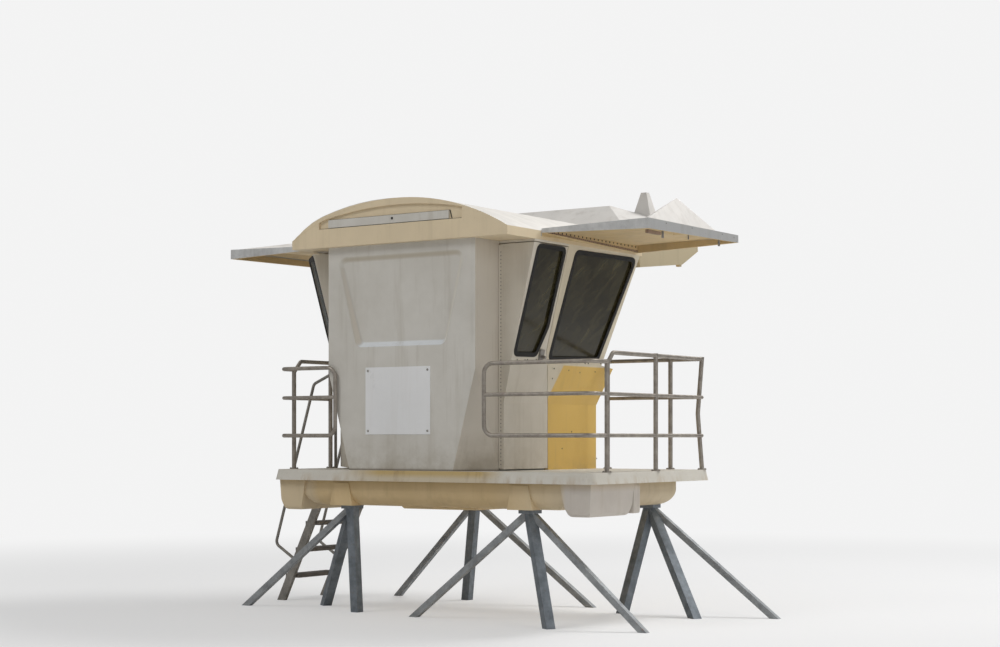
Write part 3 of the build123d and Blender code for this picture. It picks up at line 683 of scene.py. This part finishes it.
def press_loop(t):
    """The rolled edge from its outer line, at 0, to the panel's floor, at 1."""
    outline = [
        (-PRESS_BOTTOM_HALF, PRESS_LOW), (PRESS_BOTTOM_HALF, PRESS_LOW),
        (PRESS_TOP_HALF, PRESS_HIGH), (-PRESS_TOP_HALF, PRESS_HIGH),
    ]
    result = []
    for x, z in rounded(grown(outline, 0.010 - 0.062 * t), 0.090 - 0.045 * t):
        up = (z - PRESS_LOW) / (PRESS_HIGH - PRESS_LOW)
        floor = PRESS_DEEP - (PRESS_DEEP - PRESS_SHALLOW) * up
        result.append(cab(x, BAY_BACK - SKIN_LIFT + floor * smooth_step(t), z))
    return result


def press_edge(bm):
    loops = [
        [bm.verts.new(point) for point in press_loop(k / PRESS_STEPS)] for k in range(PRESS_STEPS + 1)
    ]
    for low, high in zip(loops, loops[1:]):
        bridge(bm, low, high)


add_mesh("press_edge", press_edge, BAY, smooth=True)

SIGN_X, SIGN_FACE = -0.026, 0.056
studs(
    "sign_bolts",
    [(cab(SIGN_X + x, SIGN_FACE, z), (0, -1, 0)) for x in (-0.345, 0.345) for z in (0.366, 0.926)],
    0.011, 0.006, BOLT,
)

# Hinge strips of the side shutters: a worn band, its holes and a row of heads above
BAND_END = 2.23
HOLES, HOLE_STEP = 46, 0.0355
HEADS, HEAD_STEP = 22, 0.0705
HEAD_SLOPE = 0.027 / 1.655


def rim_point(side, level, y, z, out=0.0):
    """A point on the inner side of a hinge rim, which leans with its shutter."""
    return cab(side * (1.2758 + 0.0355 * (level - z) + out), y, z)


def hinge_strip(side, label, level, start, near, far):
    """A strip from its start to the band's end; near and far are its heights at those ends."""
    def band_height(y, share):
        t = (y - start) / (BAND_END - start)
        low = near[0] + (far[0] - near[0]) * t
        high = near[1] + (far[1] - near[1]) * t
        return low + share * (high - low)

    corners = [(start, near[0]), (BAND_END, far[0]), (BAND_END, far[1]), (start, near[1])]
    patch(label + "_worn_band", [rim_point(side, level, y, z) for y, z in corners], (side, 0, 0), WORN)
    holes, heads = [], []
    for k in range(HOLES):
        y = start + 0.03 + HOLE_STEP * k
        z = band_height(y, 0.72 if k % 2 else 0.28)
        holes.append((rim_point(side, level, y, z, 0.0002), (side, 0, 0)))
    for k in range(HEADS):
        y = start + 0.13 + HEAD_STEP * k
        z = band_height(y, 1.0) + 0.003 + HEAD_SLOPE * (y - start)
        heads.append((rim_point(side, level, y, z), (side, 0, 0)))
    studs(label + "_hinge_holes", holes, 0.0052, 0.0015, DARK_GAP, sides=6)
    studs(label + "_hinge_heads", heads, 0.0088, 0.003, DARK_GAP, sides=8)


hinge_strip(1, "right", RIGHT_LEVEL, 0.575, (2.162, 2.177), (2.118, 2.141))
hinge_strip(-1, "left", LEFT_LEVEL, 0.375, (2.138, 2.150), (2.090, 2.114))

# The right shutter again, with shallower rims: by how much at three of its corners
OUTER_NEAR_CUT, INNER_FAR_CUT, OUTER_FAR_CUT = 0.16, 0.35, 0.05


def right_panel(bm):
    bm.from_mesh(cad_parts["right_shutter"].data)
    start = cab(SHUTTER_START, SHUTTER_BACK, RIGHT_LEVEL)
    for vert in bm.verts:
        out = vert.co.x - start.x
        deep = start.z + out * SHUTTER_RISE - vert.co.z
        if deep > 0.02 and out > 0.0005:
            u = min(max(out / SHUTTER_REACH, 0), 1)
            v = min(max((vert.co.y - start.y) / (SHUTTER_FRONT - SHUTTER_BACK), 0), 1)
            cut = OUTER_NEAR_CUT * u * (1 - v) + INNER_FAR_CUT * (1 - u) * v + OUTER_FAR_CUT * u * v
            vert.co.z += deep * cut


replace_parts(add_mesh("right_shutter_panel", right_panel, SHUTTER_R), "right_shutter")


# Door fittings: dots along the hinge leaves, marks under the right door's window, worn hinge edges
def lean_marks(name, places, radius, body=BODY):
    """Dark marks on the right leaning wall or the right door."""
    spots = [(side_point(1, y, z, 0.0005), (1, 0, 0)) for y, z in places]
    studs(name, spots, radius, 0.001, DARK_GAP, body, sides=7)


DOTS, DOT_STEP = 58, 0.034
DOT_X, DOT_Y, LOWEST_DOT = 0.8735, 0.4338, 0.06
for side, label in SIDES:
    back = door_turn(side) @ Vector((0, -1, 0))
    levels = [LOWEST_DOT + DOT_STEP * k for k in range(DOTS)]
    spots = [(on_door(side, cab(side * DOT_X, DOT_Y, z)), back) for z in levels]
    studs(label + "_door_hinge_dots", spots, 0.0045, 0.0025, DARK_GAP, label + "_door", sides=6)

DOOR_MARKS = [(0.53, 1.018), (0.66, 1.02), (0.70, 1.024), (0.80, 1.018), (0.845, 1.03)]
lean_marks("right_door_marks", DOOR_MARKS, 0.007, "right_door")

HINGE_EDGE_Y = 0.4312
for side, label in SIDES:
    corners = [(0.8515, 0.03), (0.8625, 0.03), (0.8625, 2.068), (0.8515, 2.068)]
    patch(label + "_hinge_edge", [cab(side * x, HINGE_EDGE_Y, z) for x, z in corners], (0, -1, 0), WORN)

# Dark strips in the gaps round the vent flap, painted shade in the gaps, and its latch
FIELD_Y = 0.0132


def gable_gap(name, corners):
    patch(name, [cab(x, FIELD_Y, z) for x, z in corners], (0, -1, 0), DARK_GAP)


gable_gap("flap_gap_top", [(-0.803, 2.3562), (0.603, 2.3562), (0.603, 2.3612), (-0.803, 2.3612)])
gable_gap("flap_gap_end", [(0.622, 2.280), (0.634, 2.280), (0.611, 2.3612), (0.5985, 2.3612)])
gable_gap("flap_slot", [(-0.910, 2.2758), (0.748, 2.2758), (0.748, 2.2818), (-0.910, 2.2818)])
studs("flap_latch", [(cab(-0.041, -0.005, 2.325), (0, -1, 0))], 0.012, 0.008, DARK_GAP)

# Four bolts on the base flange of each rail post
POSTS = [
    (1.7555, 0.3), (1.7555, 1.16), (1.7555, 2.05), (1.415, 2.05), (0.715, 2.05),
    (-1.7555, 0.235), (-1.7555, 0.79), (-1.7555, 2.05), (-1.365, 2.05),
]
BOLT_CIRCLE = 0.031
FLANGE_TOP = 0.010
flange_bolts = []
for x, y in POSTS:
    for angle in (math.radians(45 + 90 * k) for k in range(4)):
        east, north = BOLT_CIRCLE * math.cos(angle), BOLT_CIRCLE * math.sin(angle)
        flange_bolts.append((tower_point(x + east, y + north, DECK + FLANGE_TOP), (0, 0, 1)))
studs("flange_bolts", flange_bolts, 0.006, 0.006, BOLT)

# The roof skin swells a little over the left shoulder of the arch: (place across, swell)
SWELL = [
    (-ROOF_HALF, 0.0), (-1.17, 0.014), (-1.08, 0.032), (-0.98, 0.042), (-0.88, 0.041), (-0.76, 0.033),
    (-0.62, 0.025), (-0.46, 0.018), (-0.3, 0.011), (-0.15, 0.005), (0.0, 0.0),
]
ROOF_RISE = CROWN_HEIGHT - EAVE_HEIGHT
ARCH_RADIUS = (ROOF_HALF ** 2 + ROOF_RISE ** 2) / (2 * ROOF_RISE)
ROOF_STEPS = 44
SKIN_ROLL = 0.006
SKIN_SUNK = 0.002


def arch_height(x):
    return CROWN_HEIGHT - ARCH_RADIUS + math.sqrt(ARCH_RADIUS ** 2 - x * x)


def swell(x):
    for (x0, h0), (x1, h1) in zip(SWELL, SWELL[1:]):
        if x0 <= x <= x1:
            t = (x - x0) / (x1 - x0)
            return h0 + (smooth_step(t) + t) / 2 * (h1 - h0)
    return 0.0


def roof_skin(bm):
    """A thin shell on the left half of the arch, rolled down at the roof's two ends."""
    tops, lows = [], []
    rows = (
        (ROOF_BACK - 0.0015, SKIN_ROLL), (ROOF_BACK + 0.0035, 0.0),
        (ROOF_FRONT - 0.006, 0.0), (ROOF_FRONT - 0.001, SKIN_ROLL),
    )
    for y, less in rows:
        top, low = [], []
        for k in range(ROOF_STEPS + 1):
            x = -ROOF_HALF + ROOF_HALF * k / ROOF_STEPS
            top.append(bm.verts.new(cab(x, y, arch_height(x) + max(swell(x) - less, 0.0) + SKIN_LIFT)))
            low.append(bm.verts.new(cab(x, y, arch_height(x) - SKIN_SUNK)))
        tops.append(top)
        lows.append(low)
    for r in range(len(rows) - 1):
        for k in range(ROOF_STEPS):
            bm.faces.new((tops[r][k], tops[r][k + 1], tops[r + 1][k + 1], tops[r + 1][k]))
            bm.faces.new((lows[r][k], lows[r + 1][k], lows[r + 1][k + 1], lows[r][k + 1]))
    for r in (0, -1):
        for k in range(ROOF_STEPS):
            bm.faces.new((lows[r][k], lows[r][k + 1], tops[r][k + 1], tops[r][k]))
    for k in (0, -1):
        for r in range(len(rows) - 1):
            bm.faces.new((lows[r][k], tops[r][k], tops[r + 1][k], lows[r + 1][k]))


add_mesh("roof_skin", roof_skin, ROOF)

# Hasps, latch bar and stops of the shutters, and the flange on the hull's right box
boxes("right_shutter_hasps", [
    ((2.318, 0.842, 2.075), (2.327, 0.872, 2.160)),
    ((2.318, 1.915, 2.095), (2.327, 1.945, 2.180)),
    ((2.318, 1.325, 2.105), (2.327, 1.340, 2.150)),
], BOLT)
boxes("right_shutter_latch", [((2.290, 0.600, 2.098), (2.322, 0.830, 2.130))], WORN)
boxes("hull_box_flange", [((1.930, 0.760, -0.372), (2.084, 0.880, -0.100))], HULL)
boxes("front_shutter_stops", [
    ((1.140, 3.245, 2.066), (1.186, 3.290, 2.100)), ((-1.186, 3.245, 2.066), (-1.140, 3.290, 2.100)),
], SHUTTER_F)

# Screws on the right shutter's outer rim, as (place from the back, distance below the top)
RIM_SCREWS = [
    (0.86, 0.02), (1.02, 0.06), (1.34, 0.018), (1.6, 0.045), (1.93, 0.02), (1.93, 0.05), (2.17, 0.03),
]
RIM_FACE, RIM_TOP = 2.3574, 2.2245
studs(
    "shutter_rim_screws", [(cab(RIM_FACE, y, RIM_TOP - down), (1, 0, 0)) for y, down in RIM_SCREWS],
    0.006, 0.0004, DARK_GAP, sides=8,
)
CATCHES = [(1.5, 0.05), (1.62, 0.055), (1.95, 0.055), (2.05, 0.06)]
studs(
    "left_shutter_catches", [(cab(-x, 2.229, LEFT_LEVEL - down), (0, -1, 0)) for x, down in CATCHES],
    0.016, 0.01, DARK_GAP, sides=8,
)

# Chips and screw heads on the right wall, and marks under its window
WALL_FACE = SILL_HALF + 0.0012
CHIPS = [
    (1.16, 0.955), (1.13, 0.86), (1.62, 0.93), (1.42, 0.945), (1.47, 0.36), (1.93, 0.10), (1.9, 0.945),
    (1.3, 0.2),
]
studs("wall_chips", [(cab(WALL_FACE, y, z), (1, 0, 0)) for y, z in CHIPS], 0.0075, 0.001, DARK_GAP, sides=7)
SILL_MARKS = [(1.17, 1.022), (1.20, 1.026), (1.71, 1.022), (1.77, 1.024), (2.0, 1.03)]
lean_marks("sill_marks", SILL_MARKS, 0.009)

# Studio: a pale floor that glows into the background further off, a pale sky, three lamps
FLOOR_HALF = 60
STUDIO_TONE = (0.86, 0.86, 0.86)
GLOW_TONE = (0.9, 0.9, 0.9)


def studio_floor():
    mesh = bpy.data.meshes.new("studio_floor")
    corners = [(x * FLOOR_HALF, y * FLOOR_HALF, 0) for x, y in ((-1, -1), (1, -1), (1, 1), (-1, 1))]
    mesh.from_pydata(corners, [], [(0, 1, 2, 3)])
    ground = bpy.data.objects.new("studio_floor", mesh)
    bpy.context.scene.collection.objects.link(ground)
    pale, tree, shader = new_material("studio_pale")
    surface = shader.outputs[0].links[0].to_socket
    plug(tree, shader.inputs["Base Color"], STUDIO_TONE)
    shader.inputs["Roughness"].default_value = 0.9
    place = node(tree, "TexCoord").outputs["Object"]
    distance = node(tree, "VectorMath", {0: place}, operation="LENGTH").outputs["Value"]
    far = node(tree, "MapRange", {
        "Value": distance, "From Min": 4.0, "From Max": 15.0, "To Min": 0.4,
    }, interpolation_type="SMOOTHSTEP")
    share = times(tree, far.outputs["Result"], node(tree, "LightPath").outputs["Is Camera Ray"])
    glow = node(tree, "Emission", {"Color": GLOW_TONE})
    blend = node(tree, "MixShader", {0: share, 1: shader.outputs[0], 2: glow.outputs[0]})
    plug(tree, surface, blend.outputs[0])
    mesh.materials.append(pale)


def studio_sky():
    """Dim white light for the object, and a paler tone where the camera or glass sees it."""
    world = bpy.data.worlds.new("studio")
    bpy.context.scene.world = world
    tree = bare_tree(world)
    path = node(tree, "LightPath").outputs
    seen_share = arithmetic(tree, "MAXIMUM", path["Is Camera Ray"], path["Is Transmission Ray"])
    light = node(tree, "Background", {"Color": (1, 1, 1), "Strength": 0.29})
    seen = node(tree, "Background", {"Color": GLOW_TONE, "Strength": 1.0})
    blend = node(tree, "MixShader", {0: seen_share, 1: light.outputs[0], 2: seen.outputs[0]})
    node(tree, "OutputWorld", {"Surface": blend.outputs[0]})


def lamp(name, place, size, power):
    """A square lamp that looks at the tower's middle."""
    data = bpy.data.lights.new(name, "AREA")
    data.size = size
    data.energy = power
    obj = bpy.data.objects.new(name, data)
    bpy.context.scene.collection.objects.link(obj)
    obj.location = place
    obj.rotation_euler = (Vector((0, 0, 2)) - Vector(place)).to_track_quat("-Z", "Y").to_euler()


studio_floor()
studio_sky()
lamp("key", (4, 7, 13), size=5, power=1450)
lamp("fill", (-4, -11, 13), size=6, power=560)
lamp("side", (14, -4, 7), size=7, power=300)

# The camera: at eye height, level, with its picture shifted up to the tower
EYE_RIGHT, EYE_BACK, EYE_HEIGHT = 9.955, 13.37, 1.665
EYE_HEADING = math.radians(34.3)
camera = bpy.data.cameras.new("view")
camera.lens = 65.88
camera.sensor_width = 36
camera.shift_y = 0.114
camera.clip_end = 200
eye = bpy.data.objects.new("view", camera)
bpy.context.scene.collection.objects.link(eye)
eye.location = tower_point(EYE_RIGHT, -EYE_BACK, EYE_HEIGHT)
eye.rotation_euler = (math.radians(90), 0, EYE_HEADING)
bpy.context.scene.camera = eye
bpy.context.scene.view_settings.view_transform = "Standard"
